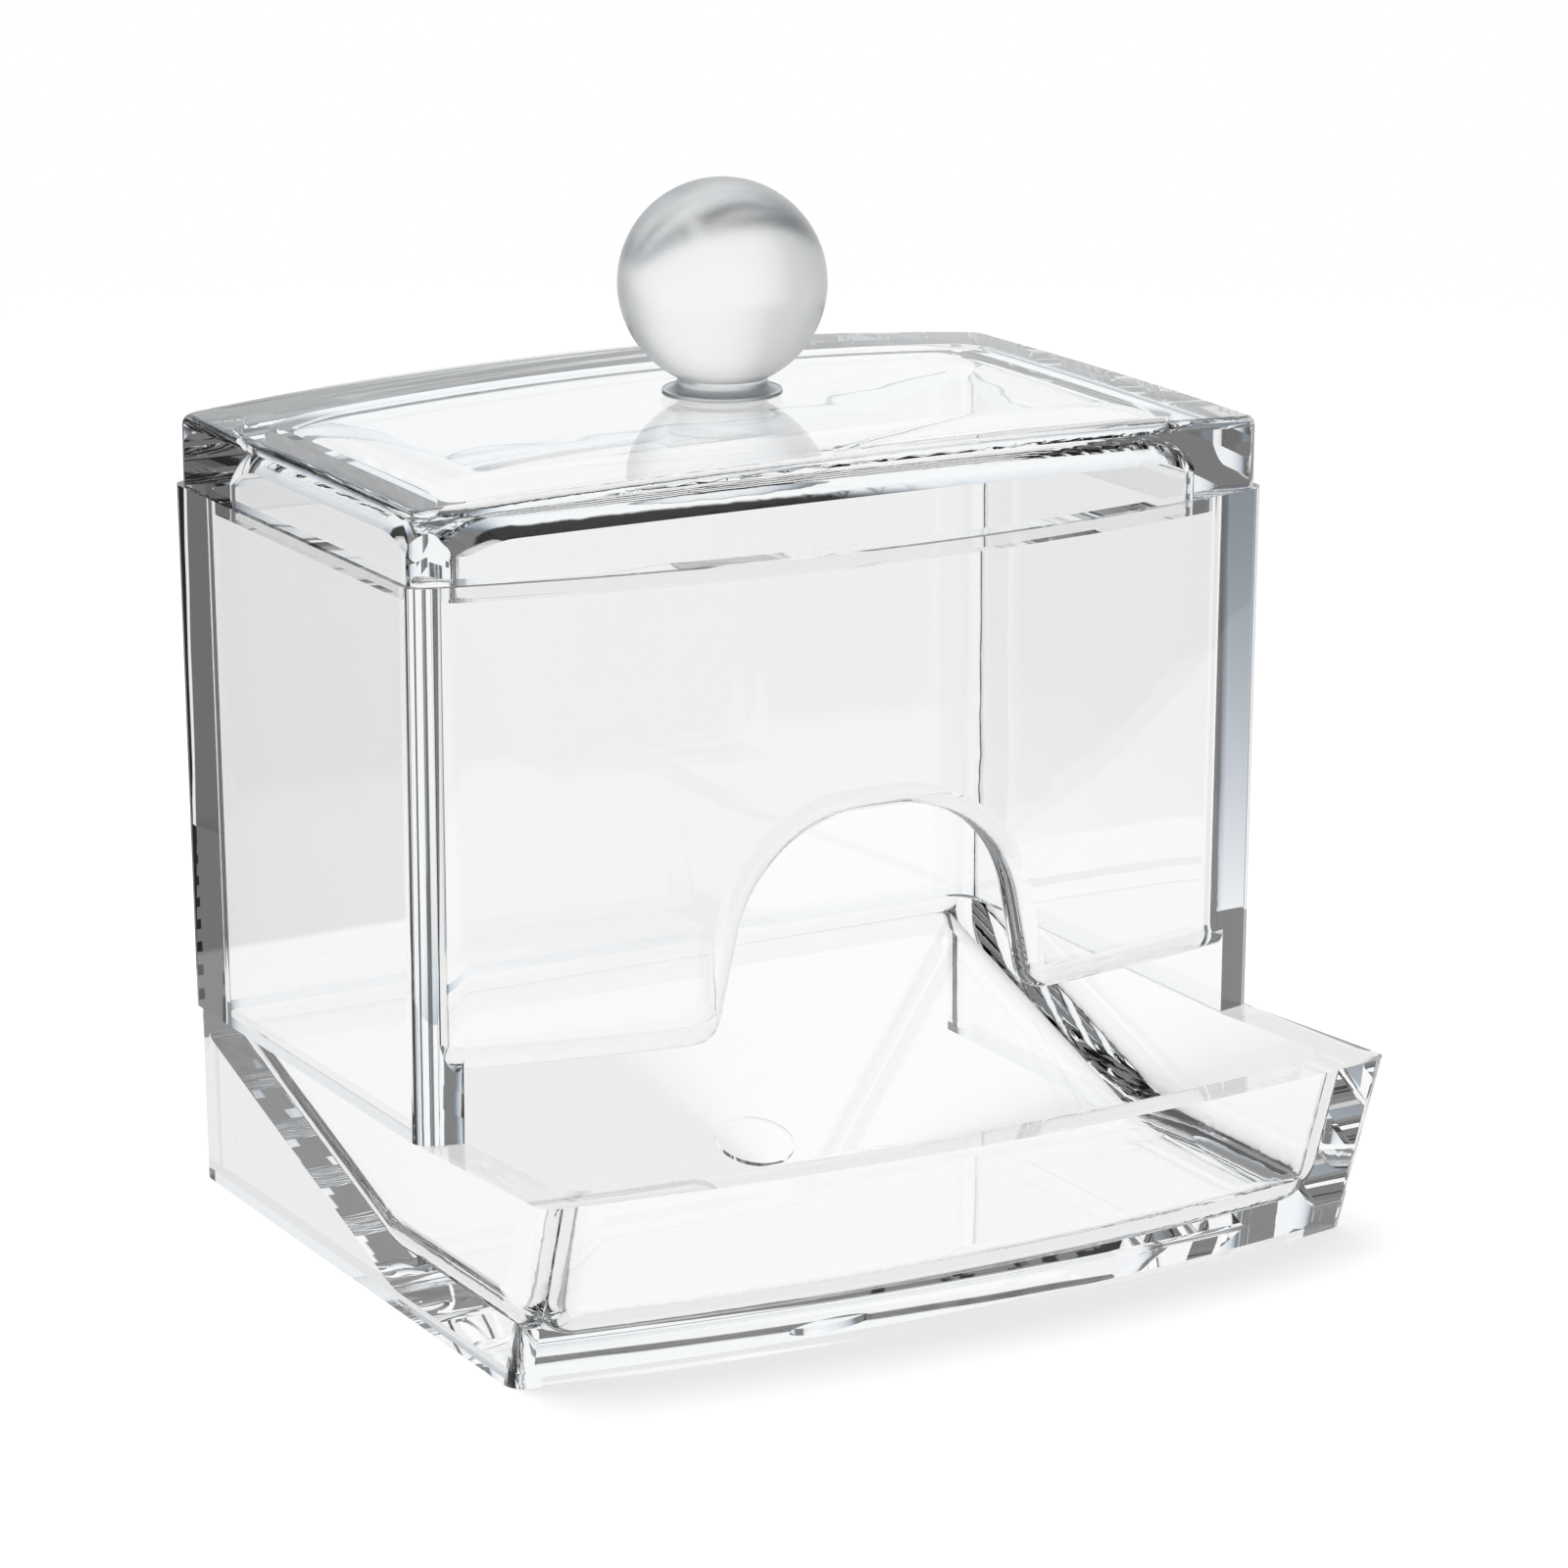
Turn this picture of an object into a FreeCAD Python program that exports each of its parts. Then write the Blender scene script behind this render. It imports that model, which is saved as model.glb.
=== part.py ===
import FreeCAD, Part
import math
import os

# Cotton swab holder in clear moulded plastic: a bonded base and box, and a lift-off lid.
# Millimetres, +Z up, front towards -Y. The origin is on the table, in the middle of the footprint.

V = FreeCAD.Vector

# Box body
box_width = 93.0
box_depth = 53.2
knob_to_back = 27.5
front_bow = 6.2
rim_height = 70.8
seam_height = 17.9
wall = 4.2
side_draft = 0.3
back_lean = 2.0
outer_corner_radius = 2.0
inner_corner_radius = 2.5

# Front wall opening
slot_top_height = 24.6
arch_top_height = 45.5
arch_top_width = 25.2
arch_foot_width = 34.0
arch_shoulder_radius = 13.0
arch_flare_radius = 3.0
opening_edge_radius = 1.9

# Base and tray
base_set_in = 0.35
tray_reach = 24.3
tray_front_bow = 4.2
tray_front_lean = 6.4
tray_lip_rise = 1.3
floor_thickness = 3.5
tray_floor_top = 4.6
foot_relief = 0.6
floor_slope_degrees = 18.0
floor_bend_radius = 10.0
back_bend_radius = 1.2
bend_below_seam = 0.5
tray_front_fillet = 5.0
tray_corner_radius = 3.8
gate_mark_diameter = 8.0
gate_mark_height = 0.4
gate_mark_from_bend = 8.0

# Lid
lid_inset = 0.5
lid_edge_height = 6.8
lid_rise_across = 2.4
lid_rise_along = 0.3
lid_crown_thickness = 3.0
lid_edge_radius = 1.0
ceiling_rise_across = 2.0
ceiling_rise_along = 0.05
cove_radius = 10.0
cove_foot_degrees = 50.0
cove_corner_spare = 1.0
lip_clearance = 0.4
lip_thickness = 2.4
lip_depth = 2.2

# Knob
ball_diameter = 20.4
knob_height = 20.8
foot_diameter = 11.7
foot_edge = 0.2
flare_hollow = 0.35
neck_diameter = 8.8
seat_depth = 0.35
seat_clearance = 0.15

# Bonded seams and resting faces
bond_line = 0.05
rest_gap = 0.05

# Room that a cutting shape runs past the face it cuts, and how close counts as level
past = 5.0
near = 0.05

box_back = (box_depth + tray_reach + tray_front_bow) / 2
box_front = box_back - box_depth
knob_y = box_back - knob_to_back
tray_top = seam_height + tray_lip_rise
lid_edge_top = rim_height + lid_edge_height
lid_top = lid_edge_top + lid_rise_across + lid_rise_along
seat_height = lid_top - seat_depth


# A plan is (half width, back, front at the corners, bow of the front at its middle).
def circle_radius(half_width, bow):
    return (half_width ** 2 + bow ** 2) / (2 * bow)


def bow_of(radius, half_width):
    return radius - math.sqrt(radius ** 2 - half_width ** 2)


def inset_plan(plan, gap):
    half_width, back, front, bow = plan
    inner_half = half_width - gap
    inner_bow = bow_of(circle_radius(half_width, bow) - gap, inner_half)
    return (inner_half, back - gap, front - bow + gap + inner_bow, inner_bow)


def front_at(plan, x):
    half_width, _, front, bow = plan
    return front - bow + bow_of(circle_radius(half_width, bow), x)


def box_plan(height):
    fall = (rim_height - height) / rim_height
    return (box_width / 2 - side_draft * fall, box_back - back_lean * fall, box_front, front_bow)


def base_plan(height):
    half_width, back, _, _ = box_plan(height)
    rise = height / tray_top
    front = box_front - tray_reach + tray_front_lean * (1 - rise)
    return (half_width - base_set_in, back - base_set_in, front, tray_front_bow)


# Floor line: level in the tray, then up the slope, and a bend up the back wall below the seam.
slope = math.radians(floor_slope_degrees)
back_wall_inside = box_plan(seam_height)[1] - wall
bend_height = back_bend_radius * math.tan((math.pi / 2 - slope) / 2)
slope_top_height = seam_height - bend_below_seam - bend_height
slope_foot = back_wall_inside - (slope_top_height - tray_floor_top) / math.tan(slope)


def plan_wire(plan, height):
    half_width, back, front, bow = plan
    back_left = V(-half_width, back, height)
    back_right = V(half_width, back, height)
    front_left = V(-half_width, front, height)
    front_right = V(half_width, front, height)
    front_arc = Part.Arc(front_right, V(0, front - bow, height), front_left)
    sides = [
        Part.LineSegment(back_left, back_right).toShape(),
        Part.LineSegment(back_right, front_right).toShape(),
        front_arc.toShape(),
        Part.LineSegment(front_left, back_left).toShape(),
    ]
    return Part.Wire(sides)


def plan_loft(plan_at, low, high):
    wires = [plan_wire(plan_at(low), low), plan_wire(plan_at(high), high)]
    return Part.makeLoft(wires, True, True)


def upright_edges(solid):
    found = []
    for edge in solid.Edges:
        box = edge.BoundBox
        if box.ZLength > box.XLength + box.YLength:
            found.append(edge)
    return found


def plan_block(plan_at, low, high, corner_radius):
    block = plan_loft(plan_at, low, high)
    return block.makeFillet(corner_radius, upright_edges(block))


def profile_prism(edges, half_width):
    # A closed outline in the YZ plane, drawn out both ways along X.
    face = Part.Face(Part.Wire(edges))
    face.translate(V(-half_width, 0, 0))
    return face.extrude(V(2 * half_width, 0, 0))


def bend_points(corner, before, after, radius):
    # Tangent points and middle of an arc that rounds a corner between two directions.
    into = V(before[0], before[1], 0).normalize()
    out = V(after[0], after[1], 0).normalize()
    turn = math.acos(into.dot(out))
    reach = radius * math.tan(turn / 2)
    start = V(corner[0] - into.x * reach, corner[1] - into.y * reach, 0)
    end = V(corner[0] + out.x * reach, corner[1] + out.y * reach, 0)
    towards = (out - into).normalize()
    centre = V(corner[0], corner[1], 0) + towards * (radius / math.cos(turn / 2))
    middle = centre - towards * radius
    return start, middle, end


def rounded_outline(points):
    # points: (y, z, bend radius or 0); returns the edges of the closed outline.
    count = len(points)
    corners = []
    for index, (y, z, radius) in enumerate(points):
        y0, z0, _ = points[index - 1]
        y1, z1, _ = points[(index + 1) % count]
        if radius:
            corners.append(bend_points((y, z), (y - y0, z - z0), (y1 - y, z1 - z), radius))
        else:
            corners.append((V(y, z, 0), None, V(y, z, 0)))
    edges = []
    for index, (start, middle, end) in enumerate(corners):
        if middle is not None:
            ends = [V(0, p.x, p.y) for p in (start, middle, end)]
            edges.append(Part.Arc(*ends).toShape())
        following = corners[(index + 1) % count][0]
        line = Part.LineSegment(V(0, end.x, end.y), V(0, following.x, following.y))
        edges.append(line.toShape())
    return edges


def base_blank():
    # Outside of the base; its top is level under the box walls and climbs to the tray's lip.
    high = tray_top + past
    outer = plan_block(base_plan, 0, high, outer_corner_radius)
    lip_front = base_plan(tray_top)[2]
    far_front = lip_front - tray_front_bow - past
    box_foot = box_plan(seam_height)
    climb_start = front_at(box_foot, box_foot[0] - wall)
    climb = tray_lip_rise / (climb_start - lip_front)
    far_height = seam_height + climb * (climb_start - far_front)
    above = rounded_outline(
        [
            (box_back + past, seam_height, 0),
            (climb_start, seam_height, 0),
            (far_front, far_height, 0),
            (far_front, high + past, 0),
            (box_back + past, high + past, 0),
        ]
    )
    return outer.cut(profile_prism(above, box_width))


def round_room(room):
    # First the edge between tray floor and front wall, then the corners and floor sides.
    front_edges = []
    for edge in room.Edges:
        box = edge.BoundBox
        level = abs(box.ZMax - tray_floor_top) < near and box.ZLength < near
        if level and box.XLength > box_width / 2 and box.YMax < slope_foot - floor_bend_radius:
            front_edges.append(edge)
    room = room.makeFillet(tray_front_fillet, front_edges)
    side_edges = []
    for edge in room.Edges:
        box = edge.BoundBox
        at_side = box.XLength < wall and abs(edge.CenterOfMass.x) > box_width / 2 - 2 * wall
        if at_side and box.YMax < back_wall_inside + near:
            side_edges.append(edge)
    return room.makeFillet(tray_corner_radius, side_edges)


def tray_room():
    # Room above the floor, open at the top.
    high = tray_top + 2 * past
    far_front = box_front - tray_reach - tray_front_bow - past
    profile = rounded_outline(
        [
            (far_front, tray_floor_top, 0),
            (slope_foot, tray_floor_top, floor_bend_radius),
            (back_wall_inside, slope_top_height, back_bend_radius),
            (back_wall_inside, high, 0),
            (far_front, high, 0),
        ]
    )

    def room_plan(height):
        half_width, _, front, bow = inset_plan(base_plan(height), wall)
        return (half_width, box_back + past, front, bow)

    room = plan_loft(room_plan, tray_floor_top - past, high)
    return round_room(room.common(profile_prism(profile, box_width)))


def floor_hollow():
    # Hollow under the slope, open behind and below, and a shallow relief under the tray.
    drop = floor_thickness / math.cos(slope)
    foot = slope_foot - (tray_floor_top - drop - foot_relief) / math.tan(slope)
    back = base_plan(slope_top_height)[1]
    back_height = slope_top_height - drop + (back - back_wall_inside) * math.tan(slope)
    far_front = box_front - tray_reach - past
    profile = rounded_outline(
        [
            (far_front, -past, 0),
            (box_back + past, -past, 0),
            (box_back + past, back_height + past, 0),
            (back, back_height + past, 0),
            (back, back_height, back_bend_radius),
            (foot, foot_relief, floor_bend_radius),
            (far_front, foot_relief, 0),
        ]
    )

    def hollow_plan(height):
        half_width, _, front, bow = inset_plan(base_plan(height), wall)
        return (half_width, box_back + 2 * past, front, bow)

    hollow = plan_loft(hollow_plan, -past, tray_top)
    return hollow.common(profile_prism(profile, box_width))


def gate_mark():
    # Low round pad on the underside of the slope, where the moulding was filled.
    into_floor = floor_thickness / 2
    mark = Part.makeCylinder(gate_mark_diameter / 2, into_floor + gate_mark_height)
    mark.rotate(V(0, 0, 0), V(1, 0, 0), 180 + floor_slope_degrees)
    floor_height = tray_floor_top + gate_mark_from_bend * math.tan(slope)
    mark.translate(V(0, slope_foot + gate_mark_from_bend, floor_height - into_floor / math.cos(slope)))
    return mark


def make_base_tray():
    base = base_blank().cut(tray_room()).cut(floor_hollow())
    return base.fuse(gate_mark()).removeSplitter()


def opening_cutter(half_width):
    # The full-width slot under the front wall and the arch above its middle: drawn across the
    # object, turned to face the front and run through the front wall.
    low = seam_height - past
    half_foot = arch_foot_width / 2
    half_top = arch_top_width / 2
    outline = rounded_outline(
        [
            (-half_width, low, 0),
            (half_width, low, 0),
            (half_width, slot_top_height, 0),
            (half_foot, slot_top_height, arch_flare_radius),
            (half_top, arch_top_height, arch_shoulder_radius),
            (-half_top, arch_top_height, arch_shoulder_radius),
            (-half_foot, slot_top_height, arch_flare_radius),
            (-half_width, slot_top_height, 0),
        ]
    )
    face = Part.Face(Part.Wire(outline))
    face.rotate(V(0, 0, 0), V(0, 0, 1), -90)
    face.translate(V(0, box_front - front_bow - past, 0))
    return face.extrude(V(0, front_bow + wall + 2 * past, 0))


def soften_opening(body):
    # Rounds the edges of the front wall all round the opening, outside and inside.
    edges = []
    for edge in body.Edges:
        box = edge.BoundBox
        in_front_wall = box.YMax < box_front + wall
        in_opening = box.ZMin > slot_top_height - near and box.ZMax < arch_top_height + near
        runs_along_face = box.YLength < box.XLength + box.ZLength and box.XLength > near
        if in_front_wall and in_opening and runs_along_face:
            edges.append(edge)
    return body.makeFillet(opening_edge_radius, edges)


def make_box_body():
    outer = plan_block(box_plan, seam_height + bond_line, rim_height, outer_corner_radius)

    def inner_plan(height):
        return inset_plan(box_plan(height), wall)

    inner = plan_block(inner_plan, seam_height - past, rim_height + past, inner_corner_radius)
    body = outer.cut(inner)

    half_width = inner_plan(seam_height)[0]
    return soften_opening(body.cut(opening_cutter(half_width)))


def dome(rise_across, rise_along, drop):
    # Everything under a sheet that is domed both ways, its crown drop below the lid's top.
    half_width = box_width / 2 - lid_inset
    half_depth = (box_depth + front_bow) / 2
    across = circle_radius(half_width, rise_across) - drop
    along = circle_radius(half_depth, rise_along) - drop
    crown = lid_top - drop
    axis_height = crown - along
    middle_y = (box_back + box_front - front_bow) / 2
    reach = half_width + past
    side = crown - bow_of(across, reach)
    corners = [
        V(-reach, middle_y, side),
        V(reach, middle_y, side),
        V(reach, middle_y, 0),
        V(-reach, middle_y, 0),
    ]
    outline = [
        Part.Arc(corners[0], V(0, middle_y, crown), corners[1]).toShape(),
        Part.LineSegment(corners[1], corners[2]).toShape(),
        Part.LineSegment(corners[2], corners[3]).toShape(),
        Part.LineSegment(corners[3], corners[0]).toShape(),
    ]
    face = Part.Face(Part.Wire(outline))
    half_turn = math.degrees(math.asin((half_depth + past) / (rim_height - past - axis_height)))
    face.rotate(V(0, middle_y, axis_height), V(1, 0, 0), -half_turn)
    return face.revolve(V(0, middle_y, axis_height), V(1, 0, 0), 2 * half_turn)


def lid_block(gap, low, high, corner_radius):
    # Upright block on the rim's plan, drawn in by a gap all round.
    plan = inset_plan(box_plan(rim_height), gap)
    return plan_block(lambda height: plan, low, high, corner_radius)


def round_top(block, radius):
    top_edges = []
    for edge in block.Edges:
        if edge.BoundBox.ZMin > rim_height + lid_edge_height / 2:
            top_edges.append(edge)
    return block.makeFillet(radius, top_edges)


def make_lid():
    tall = lid_top + past
    cap = lid_block(lid_inset, rim_height + rest_gap, tall, outer_corner_radius)
    cap = round_top(cap.common(dome(lid_rise_across, lid_rise_along, 0)), lid_edge_radius)

    lip_inset = wall + lip_clearance
    lip = lid_block(lip_inset, rim_height - lip_depth, rim_height + lip_depth, inner_corner_radius)

    # The hollow's ceiling comes down to its walls in a cove, cut off where it gets steep.
    hollow_inset = lip_inset + lip_thickness
    cove_outside = cove_radius * (1 - math.cos(math.radians(cove_foot_degrees)))
    vault_inset = hollow_inset - cove_outside
    vault = lid_block(vault_inset, rim_height - past, tall, cove_radius + cove_corner_spare)
    ceiling = dome(ceiling_rise_across, ceiling_rise_along, lid_crown_thickness)
    vault = round_top(vault.common(ceiling), cove_radius)
    hollow = lid_block(hollow_inset, rim_height - past, tall, inner_corner_radius).common(vault)

    seat = Part.makeCylinder(foot_diameter / 2 + seat_clearance, past, V(0, knob_y, seat_height))
    return cap.fuse(lip).cut(hollow).cut(seat).removeSplitter()


def make_knob():
    # Turned outline in an upright plane: foot, flare, neck and ball.
    ball = ball_diameter / 2
    neck = neck_diameter / 2
    foot = foot_diameter / 2
    centre_z = lid_top + knob_height - ball
    meet_z = centre_z - math.sqrt(ball ** 2 - neck ** 2)
    flare_z = lid_top + foot_edge
    middle_x = (foot + neck) / 2 - flare_hollow
    middle_z = (flare_z + meet_z) / 2 - flare_hollow

    def point(x, z):
        return V(x, knob_y, z)

    foot_z = seat_height + bond_line
    bottom = point(0, foot_z)
    top = point(0, centre_z + ball)
    outline = [
        Part.LineSegment(bottom, point(foot, foot_z)),
        Part.LineSegment(point(foot, foot_z), point(foot, flare_z)),
        Part.Arc(point(foot, flare_z), point(middle_x, middle_z), point(neck, meet_z)),
        Part.Arc(point(neck, meet_z), point(ball, centre_z), top),
        Part.LineSegment(top, bottom),
    ]
    face = Part.Face(Part.Wire([piece.toShape() for piece in outline]))
    return face.revolve(bottom, V(0, 0, 1), 360)


def save(name, shape):
    solids = shape.Solids
    print(name, "solids", len(solids), "volume", round(shape.Volume, 1), "valid", shape.isValid())
    if len(solids) == 1:
        shape = solids[0]
    shape.exportStep("parts/%s.step" % name)


os.makedirs("parts", exist_ok=True)
save("base_tray", make_base_tray())
save("box_body", make_box_body())
save("lid", make_lid())
save("knob", make_knob())
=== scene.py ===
import math

import bpy
from mathutils import Matrix, Vector

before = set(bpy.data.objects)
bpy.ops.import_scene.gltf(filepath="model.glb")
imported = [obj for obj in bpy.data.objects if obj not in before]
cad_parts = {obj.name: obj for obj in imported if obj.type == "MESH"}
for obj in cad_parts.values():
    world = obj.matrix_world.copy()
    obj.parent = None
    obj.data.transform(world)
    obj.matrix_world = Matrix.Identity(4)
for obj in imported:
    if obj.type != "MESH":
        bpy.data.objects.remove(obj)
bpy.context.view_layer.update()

# Cotton swab holder in clear acrylic: a base with an open tray, a box bonded on top of it,
# and a lift-off lid with a ball knob. Metres, +Z up, front towards -Y.


# Base and tray.
# One injection moulding in clear acrylic (PMMA): two side skirts, the sloping floor and the tray.
# It comes out of a polished steel tool, filled through one gate, whose round mark is on the slope.
bpy.ops.object.select_all(action="DESELECT")

MM = 0.001
ACRYLIC_IOR = 1.49
WAVE_DETAIL, WAVE_ROUGHNESS = 1.0, 0.4
SMUDGE_SIZE = 18 * MM
SMUDGE_DETAIL, SMUDGE_ROUGHNESS = 4.0, 0.6
SMUDGE_FROM, SMUDGE_TO = 0.35, 0.75


def linear(hex_colour):
    parts = [int(hex_colour[i : i + 2], 16) / 255 for i in (1, 3, 5)]
    return tuple(p / 12.92 if p <= 0.04045 else ((p + 0.055) / 1.055) ** 2.4 for p in parts) + (1.0,)


def add_node(tree, kind, settings=None, **links):
    # A link called _0, _1 and so on goes to the socket of that number, any other to the socket of
    # that name.
    node = tree.nodes.new(kind)
    for name, value in (settings or {}).items():
        setattr(node, name, value)
    for name, value in links.items():
        numbered = name[0] == "_" and name[1:].isdigit()
        socket = node.inputs[int(name[1:]) if numbered else name.replace("_", " ")]
        if isinstance(value, bpy.types.NodeSocket):
            tree.links.new(value, socket)
        else:
            socket.default_value = value
    return node


def clear_acrylic(name, clean_tint, hazy_tint, wave_mm, wave_depth_mm, haze, polish=0.0):
    # Optically clear, glossy moulded acrylic. The mould's polish leaves long shallow waves that
    # make reflections swim, and handling leaves a faint uneven haze.
    material = bpy.data.materials.new(name)
    material.use_nodes = True
    tree = material.node_tree
    shader = tree.nodes["Principled BSDF"]
    shader.inputs["Transmission Weight"].default_value = 1.0
    shader.inputs["IOR"].default_value = ACRYLIC_IOR
    place = add_node(tree, "ShaderNodeTexCoord").outputs["Object"]
    wave = add_node(
        tree,
        "ShaderNodeTexNoise",
        Vector=place,
        Scale=1 / (wave_mm * MM),
        Detail=WAVE_DETAIL,
        Roughness=WAVE_ROUGHNESS,
    )
    bump = add_node(
        tree,
        "ShaderNodeBump",
        Height=wave.outputs["Fac"],
        Distance=wave_depth_mm * MM,
        Strength=1.0,
    )
    tree.links.new(bump.outputs["Normal"], shader.inputs["Normal"])
    smudge = add_node(
        tree,
        "ShaderNodeTexNoise",
        Vector=place,
        Scale=1 / SMUDGE_SIZE,
        Detail=SMUDGE_DETAIL,
        Roughness=SMUDGE_ROUGHNESS,
    )
    roughness = add_node(
        tree,
        "ShaderNodeMapRange",
        Value=smudge.outputs["Fac"],
        _1=SMUDGE_FROM,
        _2=SMUDGE_TO,
        _3=polish,
        _4=polish + haze,
    )
    tree.links.new(roughness.outputs["Result"], shader.inputs["Roughness"])
    tint = add_node(tree, "ShaderNodeMix", {"data_type": "RGBA"}, _0=smudge.outputs["Fac"])
    tint.inputs[6].default_value = linear(clean_tint)
    tint.inputs[7].default_value = linear(hazy_tint)
    tree.links.new(tint.outputs[2], shader.inputs["Base Color"])
    return material


def finish_node(node, material):
    node.material_slots[0].material = material


base_acrylic = clear_acrylic("clear_acrylic_moulded_base", "#FFFFFF", "#FDFDFD", 14, 0.010, 0.012)
finish_node(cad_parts["base_tray"], base_acrylic)


# Box body.
# A second moulding in the same clear acrylic, solvent-bonded on top of the base. Its walls are
# large and even, so its waves are the longest and its haze is the least.
box_acrylic = clear_acrylic("clear_acrylic_moulded_box", "#FFFFFF", "#FDFDFD", 16, 0.010, 0.010)
finish_node(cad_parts["box_body"], box_acrylic)


# Lid.
# A thick clear acrylic moulding that rests on the rim by its own weight. It is handled every
# day, so it carries more haze than the box and the base.
lid_acrylic = clear_acrylic("clear_acrylic_moulded_lid", "#FFFFFF", "#FDFDFD", 12, 0.010, 0.014)
finish_node(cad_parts["lid"], lid_acrylic)


# Knob.
# A solid clear acrylic ball on a short foot, moulded in one and bonded into its seat in the lid.
# Its surface is less polished than the sheets, so what shows in it is soft and grey.
BALL_POLISH = 0.25
knob_acrylic = clear_acrylic(
    "clear_acrylic_moulded_knob", "#FDFEFE", "#FAFCFD", 9, 0.006, 0.02, BALL_POLISH
)
finish_node(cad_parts["knob"], knob_acrylic)


# Table.
# A pale matt laminate table. The camera sees it white, with the holder's soft shadow on it. Gloss
# and clear plastic see painted light on it: white behind the holder, a painted band of light round it and
# dim elsewhere.
TABLE_WIDTH = 12
TABLE_DROP = 0.05 * MM
bpy.ops.mesh.primitive_plane_add(size=TABLE_WIDTH, location=(0, 0, -TABLE_DROP))
table = bpy.context.object
table.name = "table"

WHITE = (1, 1, 1, 1)
SWEEP_AZIMUTH = math.radians(41)
BEHIND = (math.sin(SWEEP_AZIMUTH), math.cos(SWEEP_AZIMUTH), 0)
DIM = 0.16
TABLE_EDGE = (0.42, 0.97)
COLOUR_SPREAD = 0.02


def room_light(tree, rays, heading, edge):
    # White in the middle of the sweep, dim elsewhere, by how far a heading turns away from it.
    # Off a mirrored edge, the white reaches a little further out for blue than for red, in place
    # of the spread of colours that thick clear plastic gives there.
    flat = add_node(tree, "ShaderNodeVectorMath", {"operation": "MULTIPLY"}, _0=heading, _1=(1, 1, 0))
    unit = add_node(tree, "ShaderNodeVectorMath", {"operation": "NORMALIZE"}, _0=flat.outputs[0])
    turn = add_node(
        tree, "ShaderNodeVectorMath", {"operation": "DOT_PRODUCT"}, _0=unit.outputs[0], _1=BEHIND
    )
    off_edge = add_node(
        tree, "ShaderNodeMath", {"operation": "GREATER_THAN"}, _0=rays.outputs["Glossy Depth"], _1=0.5
    )
    channels = []
    for shift in (COLOUR_SPREAD, 0, -COLOUR_SPREAD):
        fade = add_node(
            tree,
            "ShaderNodeMapRange",
            {"interpolation_type": "SMOOTHSTEP"},
            Value=turn.outputs["Value"],
            _1=edge[0] + shift,
            _2=edge[1] + shift,
            _3=DIM,
            _4=1.0,
        )
        channels.append(fade.outputs[0])
    spread = add_node(tree, "ShaderNodeCombineColor", _0=channels[0], _1=channels[1], _2=channels[2])
    return add_node(
        tree,
        "ShaderNodeMix",
        {"data_type": "RGBA"},
        _0=off_edge.outputs[0],
        _6=channels[1],
        _7=spread.outputs[0],
    ).outputs[2]


def brighter(tree, colour, level):
    return add_node(
        tree,
        "ShaderNodeMix",
        {"data_type": "RGBA", "blend_type": "LIGHTEN"},
        _0=1.0,
        _6=colour,
        _7=level,
    ).outputs[2]


def straight_through(tree, rays, walls):
    # 1 on a path that has gone through that many walls or more and met no reflection, else 0.
    # A wall counts twice, once going in and once coming out.
    unreflected = add_node(
        tree, "ShaderNodeMath", {"operation": "LESS_THAN"}, _0=rays.outputs["Glossy Depth"], _1=0.5
    )
    through = add_node(
        tree,
        "ShaderNodeMath",
        {"operation": "GREATER_THAN"},
        _0=rays.outputs["Transmission Depth"],
        _1=2 * walls - 1.5,
    )
    both = add_node(
        tree, "ShaderNodeMath", {"operation": "MULTIPLY"}, _0=unreflected.outputs[0], _1=through.outputs[0]
    )
    return both.outputs[0]


table_paint = bpy.data.materials.new("pale_matt_laminate_table")
table_paint.use_nodes = True
tree = table_paint.node_tree
tree.nodes.clear()
rays = add_node(tree, "ShaderNodeLightPath")
place = add_node(tree, "ShaderNodeTexCoord").outputs["Object"]

# What the camera sees: the shaded laminate near the holder, plain white further off.
LAMINATE_LIFT = 0.62
SHADE_REACH = (0.22, 0.55)
matt = add_node(tree, "ShaderNodeBsdfDiffuse", Color=linear("#F2F2F2"))
lift = add_node(tree, "ShaderNodeEmission", Color=WHITE, Strength=LAMINATE_LIFT)
shaded = add_node(tree, "ShaderNodeAddShader", _0=matt.outputs[0], _1=lift.outputs[0])
reach = add_node(tree, "ShaderNodeVectorMath", {"operation": "LENGTH"}, _0=place)
past_shade = add_node(
    tree,
    "ShaderNodeMapRange",
    {"interpolation_type": "SMOOTHSTEP"},
    Value=reach.outputs["Value"],
    _1=SHADE_REACH[0],
    _2=SHADE_REACH[1],
    _3=0.0,
    _4=1.0,
)
sweep = add_node(tree, "ShaderNodeEmission", Color=WHITE, Strength=1.0)
seen = add_node(
    tree, "ShaderNodeMixShader", _0=past_shade.outputs[0], _1=shaded.outputs[0], _2=sweep.outputs[0]
)

# What gloss and clear plastic see: a painted band of light across the table from front to back under
# the holder, on paths with two mirrorings at most, and the room's light around it.
LIT_BAND_FRONT, LIT_BAND_BACK, LIT_BAND_SOFT = 128 * MM, 108 * MM, 2 * MM
LIT_BAND_LIGHT = 0.85
LIT_BAND_MIRRORINGS = 2
parts = add_node(tree, "ShaderNodeSeparateXYZ", Vector=place)
behind_front = add_node(
    tree,
    "ShaderNodeMapRange",
    {"interpolation_type": "SMOOTHSTEP"},
    Value=parts.outputs["Y"],
    _1=-LIT_BAND_FRONT - LIT_BAND_SOFT,
    _2=-LIT_BAND_FRONT + LIT_BAND_SOFT,
    _3=0.0,
    _4=LIT_BAND_LIGHT,
)
before_back = add_node(
    tree,
    "ShaderNodeMapRange",
    {"interpolation_type": "SMOOTHSTEP"},
    Value=parts.outputs["Y"],
    _1=LIT_BAND_BACK - LIT_BAND_SOFT,
    _2=LIT_BAND_BACK + LIT_BAND_SOFT,
    _3=1.0,
    _4=0.0,
)
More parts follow.
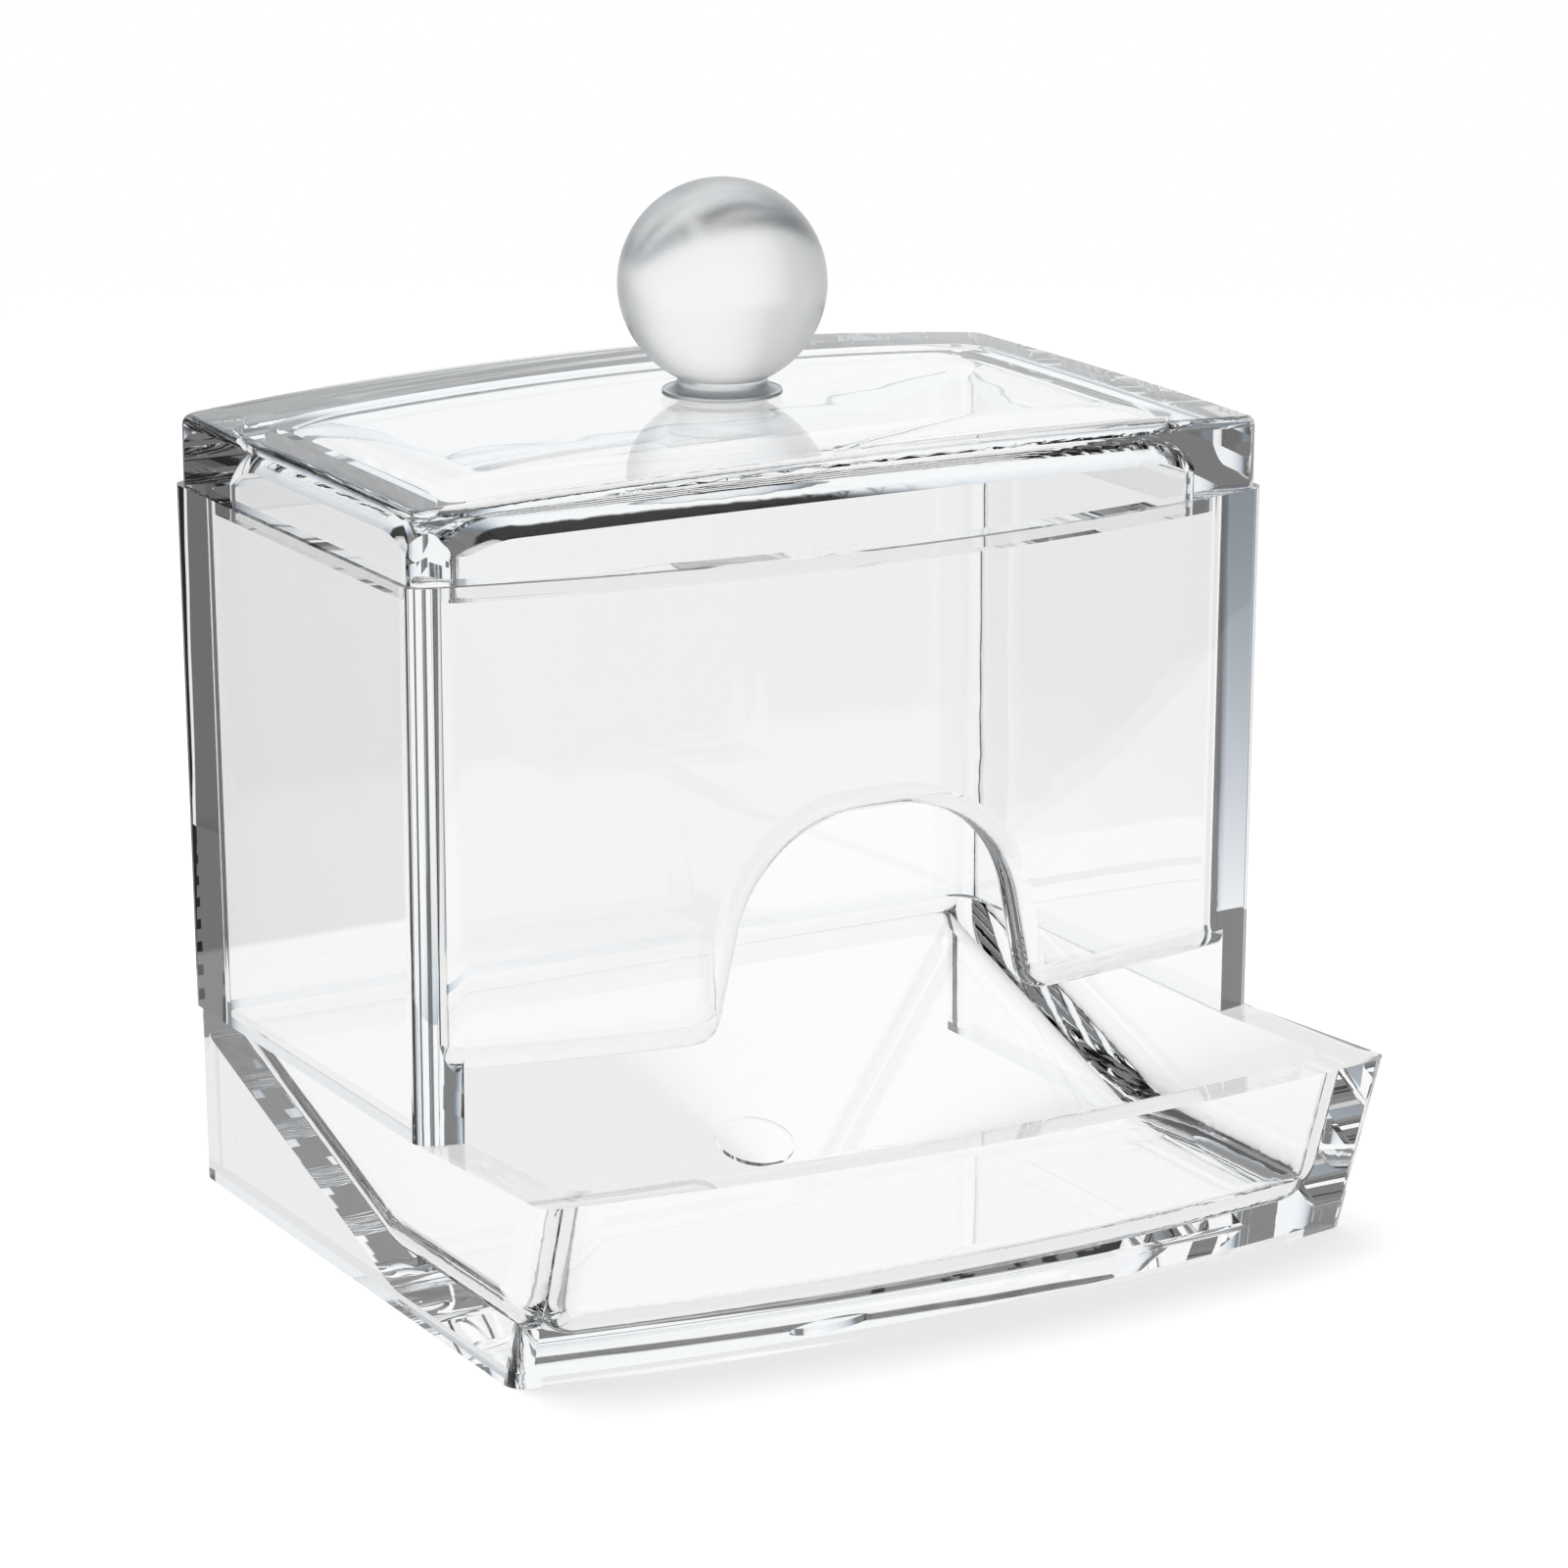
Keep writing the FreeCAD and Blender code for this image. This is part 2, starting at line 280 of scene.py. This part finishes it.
few_mirrorings = add_node(
    tree,
    "ShaderNodeMath",
    {"operation": "LESS_THAN"},
    _0=rays.outputs["Glossy Depth"],
    _1=LIT_BAND_MIRRORINGS + 0.5,
)
on_lit_band = add_node(
    tree, "ShaderNodeMath", {"operation": "MULTIPLY"}, _0=behind_front.outputs[0], _1=before_back.outputs[0]
)
lit_band_mask = add_node(
    tree, "ShaderNodeMath", {"operation": "MULTIPLY"}, _0=on_lit_band.outputs[0], _1=few_mirrorings.outputs[0]
)
lit_band_grey = add_node(
    tree, "ShaderNodeCombineColor", _0=lit_band_mask.outputs[0], _1=lit_band_mask.outputs[0], _2=lit_band_mask.outputs[0]
).outputs[0]
# The painted band of light lightens the room's light on the table.
mirrored = brighter(tree, room_light(tree, rays, place, TABLE_EDGE), lit_band_grey)

# Straight through clear walls the table and the room stay light from every side, so that the
# holder looks clear all round: light through one wall, white through two or more.
ONE_WALL_VIEW = (0.72, 0.72, 0.72, 1)
one_wall = add_node(
    tree,
    "ShaderNodeMix",
    {"data_type": "RGBA"},
    _0=straight_through(tree, rays, 1),
    _6=mirrored,
    _7=brighter(tree, mirrored, ONE_WALL_VIEW),
).outputs[2]
glow_colour = add_node(
    tree, "ShaderNodeMix", {"data_type": "RGBA"}, _0=straight_through(tree, rays, 2), _6=one_wall, _7=WHITE
)
glow = add_node(tree, "ShaderNodeEmission", Color=glow_colour.outputs[2])
either = add_node(
    tree,
    "ShaderNodeMath",
    {"operation": "MAXIMUM"},
    _0=rays.outputs["Is Glossy Ray"],
    _1=rays.outputs["Is Transmission Ray"],
)
mixed = add_node(tree, "ShaderNodeMixShader", _0=either.outputs[0], _1=seen.outputs[0], _2=glow.outputs[0])
add_node(tree, "ShaderNodeOutputMaterial", Surface=mixed.outputs[0])
table.data.materials.append(table_paint)


# Light and room.
# A white sweep behind the holder and a dim room to the sides, in front and overhead. The camera
# sees white all round; gloss and clear plastic see this room.
OVERHEAD_FROM, OVERHEAD_TO = 0.79, 0.86
OVERHEAD_DARK = (0.02, 0.02, 0.02, 1)
WALL_EDGE = (0.55, 1.03)
ROOM_DIM = (0.2, 0.2, 0.2, 1)
world = bpy.data.worlds.new("studio")
bpy.context.scene.world = world
world.use_nodes = True
tree = world.node_tree
tree.nodes.clear()
rays = add_node(tree, "ShaderNodeLightPath")
direction = add_node(tree, "ShaderNodeTexCoord").outputs["Generated"]
parts = add_node(tree, "ShaderNodeSeparateXYZ", Vector=direction)
overhead = add_node(
    tree,
    "ShaderNodeMapRange",
    {"interpolation_type": "SMOOTHSTEP"},
    Value=parts.outputs["Z"],
    _1=OVERHEAD_FROM,
    _2=OVERHEAD_TO,
    _3=0.0,
    _4=1.0,
)
room = brighter(tree, room_light(tree, rays, direction, WALL_EDGE), ROOM_DIM)
room = add_node(
    tree,
    "ShaderNodeMix",
    {"data_type": "RGBA"},
    _0=straight_through(tree, rays, 1),
    _6=room,
    _7=brighter(tree, room, ONE_WALL_VIEW),
).outputs[2]
ceiling = add_node(
    tree, "ShaderNodeMix", {"data_type": "RGBA"}, _0=overhead.outputs[0], _6=room, _7=OVERHEAD_DARK
).outputs[2]
passed = add_node(
    tree, "ShaderNodeMix", {"data_type": "RGBA"}, _0=straight_through(tree, rays, 2), _6=ceiling, _7=WHITE
).outputs[2]
white = add_node(
    tree, "ShaderNodeMix", {"data_type": "RGBA"}, _0=rays.outputs["Is Camera Ray"], _6=passed, _7=WHITE
)
sky = add_node(tree, "ShaderNodeBackground", Color=white.outputs[2])
add_node(tree, "ShaderNodeOutputWorld", Surface=sky.outputs[0])

# One large soft box overhead gives the holder its shadow on the table.
SOFT_BOX_PLACE = (-0.15, 0.1, 0.9)
SOFT_BOX_LENGTH, SOFT_BOX_WIDTH = 0.7, 0.5
SOFT_BOX_WATTS = 4.0
bpy.ops.object.light_add(type="AREA", location=SOFT_BOX_PLACE)
soft_box = bpy.context.object
soft_box.name = "overhead_soft_box"
soft_box.data.shape = "RECTANGLE"
soft_box.data.size = SOFT_BOX_LENGTH
soft_box.data.size_y = SOFT_BOX_WIDTH
soft_box.data.energy = SOFT_BOX_WATTS
soft_box.rotation_euler = (Vector((0, 0, 0)) - soft_box.location).to_track_quat("-Z", "Y").to_euler()
soft_box.visible_glossy = False
soft_box.visible_transmission = False


# Camera.
# The photograph's view: from the front left, a little above, through a long lens.
AZIMUTH, ELEVATION, ROLL = math.radians(-29.73), math.radians(15.18), math.radians(0.24)
DISTANCE = 0.55758
AIM = Vector((0.00682, 0.01285, 0.03982))
FOCAL_PIXELS = 5708.86
PHOTO_PIXELS = 1600
SENSOR_WIDTH = 36
NEAREST_SEEN = 0.01
level = math.cos(ELEVATION)
back = Vector((math.sin(AZIMUTH) * level, -math.cos(AZIMUTH) * level, math.sin(ELEVATION)))
right = Vector((math.cos(AZIMUTH), math.sin(AZIMUTH), 0))
up = back.cross(right)
rolled_right = math.cos(ROLL) * right + math.sin(ROLL) * up
rolled_up = math.cos(ROLL) * up - math.sin(ROLL) * right
turned = Matrix((rolled_right, rolled_up, back)).transposed().to_4x4()
camera_data = bpy.data.cameras.new("camera")
camera_data.sensor_width = SENSOR_WIDTH
camera_data.lens = SENSOR_WIDTH * FOCAL_PIXELS / PHOTO_PIXELS
camera_data.clip_start = NEAREST_SEEN
camera = bpy.data.objects.new("camera", camera_data)
bpy.context.scene.collection.objects.link(camera)
camera.matrix_world = Matrix.Translation(AIM + back * DISTANCE) @ turned
bpy.context.scene.camera = camera

# Light goes through many clear faces and along thick edges before it leaves the holder.
MOST_BOUNCES, MOST_MIRRORINGS = 32, 16
scene = bpy.context.scene
scene.view_settings.view_transform = "Standard"
scene.cycles.max_bounces = MOST_BOUNCES
scene.cycles.transmission_bounces = MOST_BOUNCES
scene.cycles.glossy_bounces = MOST_MIRRORINGS
